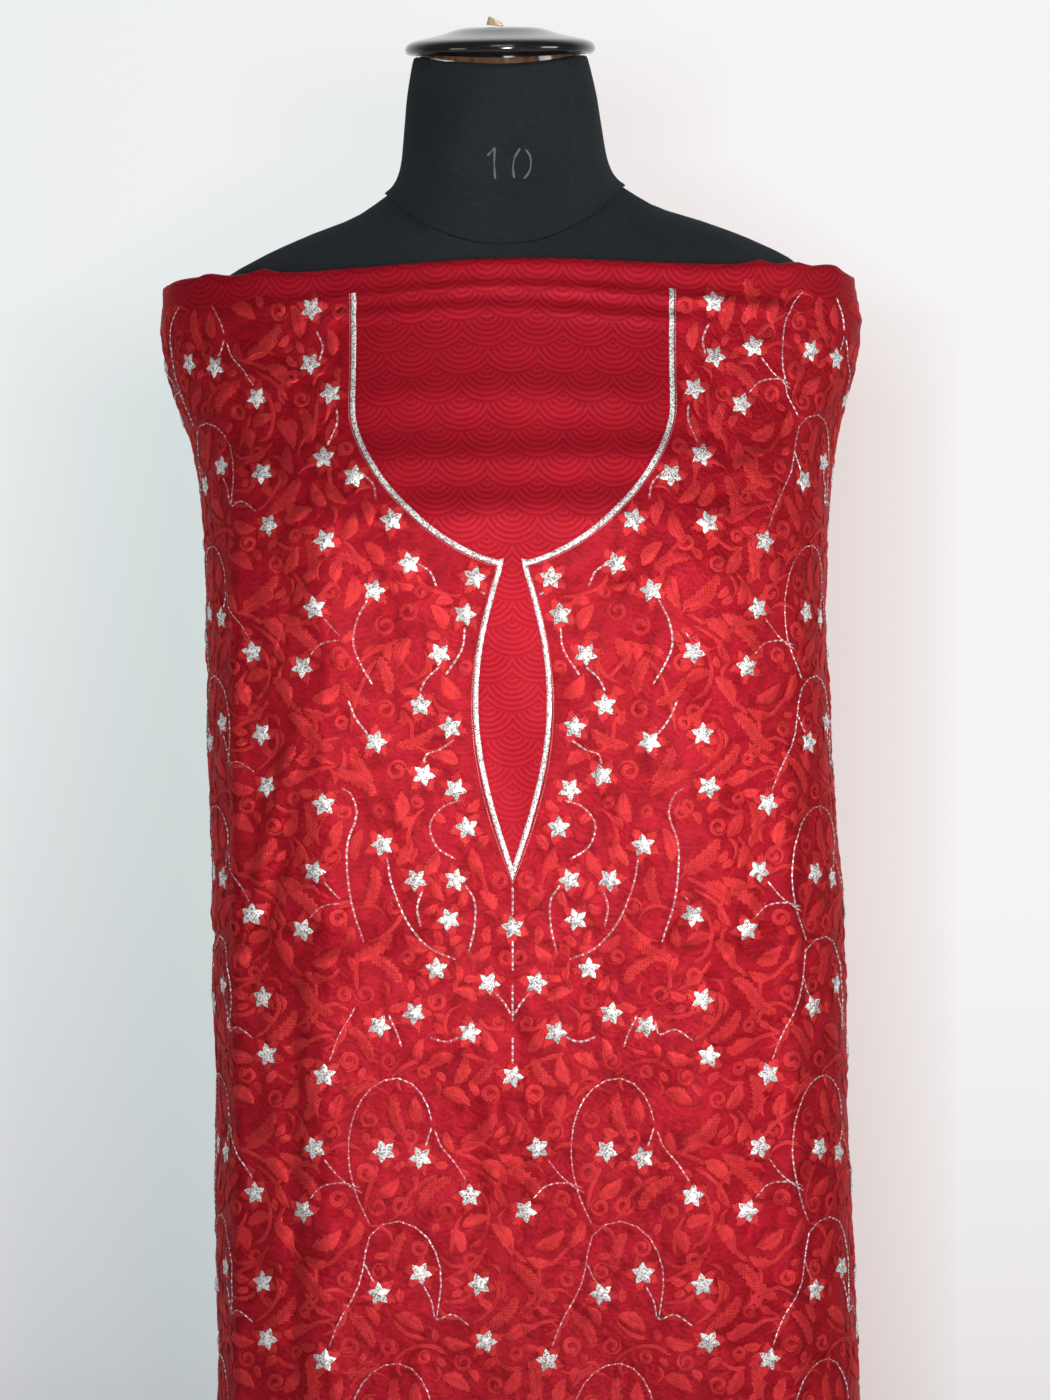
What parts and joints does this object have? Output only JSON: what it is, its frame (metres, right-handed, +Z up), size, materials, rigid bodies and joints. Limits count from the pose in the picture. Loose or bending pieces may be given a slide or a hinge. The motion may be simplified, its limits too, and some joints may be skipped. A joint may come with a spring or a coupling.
{
  "type": "embroidered salwar kameez suit length on a dress form",
  "caption": "Embroidered kameez cloth of a salwar kameez suit, wrapped strapless and lapped at the back round a limbless dress form on a round-based pole.",
  "frame": {"origin": "centre of the stand base's flat underside", "axes": "+Z up along the pole, -Y towards the front of the cloth, where the worked neckline is, +X to the viewer's right"},
  "size_m": [0.4559, 0.4, 1.5323],
  "materials": {
    "crimson_cloth": "crimson silk-cotton jacquard with a soft sheen, embroidered in red and silver",
    "silver_braid": "silver glitter braid",
    "black_jersey": "black stretch jersey",
    "black_lacquer": "gloss black lacquer",
    "brown_varnish": "dark varnish",
    "pale_wood": "bare pale wood",
    "black_steel": "satin black powder coat",
    "pin_steel": "nickel plated"
  },
  "bodies": {
    "root": {"kameez_length": "crimson_cloth", "neckline_braid": "silver_braid", "lap_pin_1": "pin_steel", "lap_pin_2": "pin_steel", "lap_pin_3": "pin_steel", "lap_pin_4": "pin_steel", "form_torso": "black_jersey", "form_neck": "black_jersey", "neck_collar": "brown_varnish", "neck_cap": "black_lacquer", "cap_peg": "pale_wood", "stand_socket": "black_steel", "stand_pole": "black_steel", "stand_base": "black_steel"}
  },
  "joints": []
}
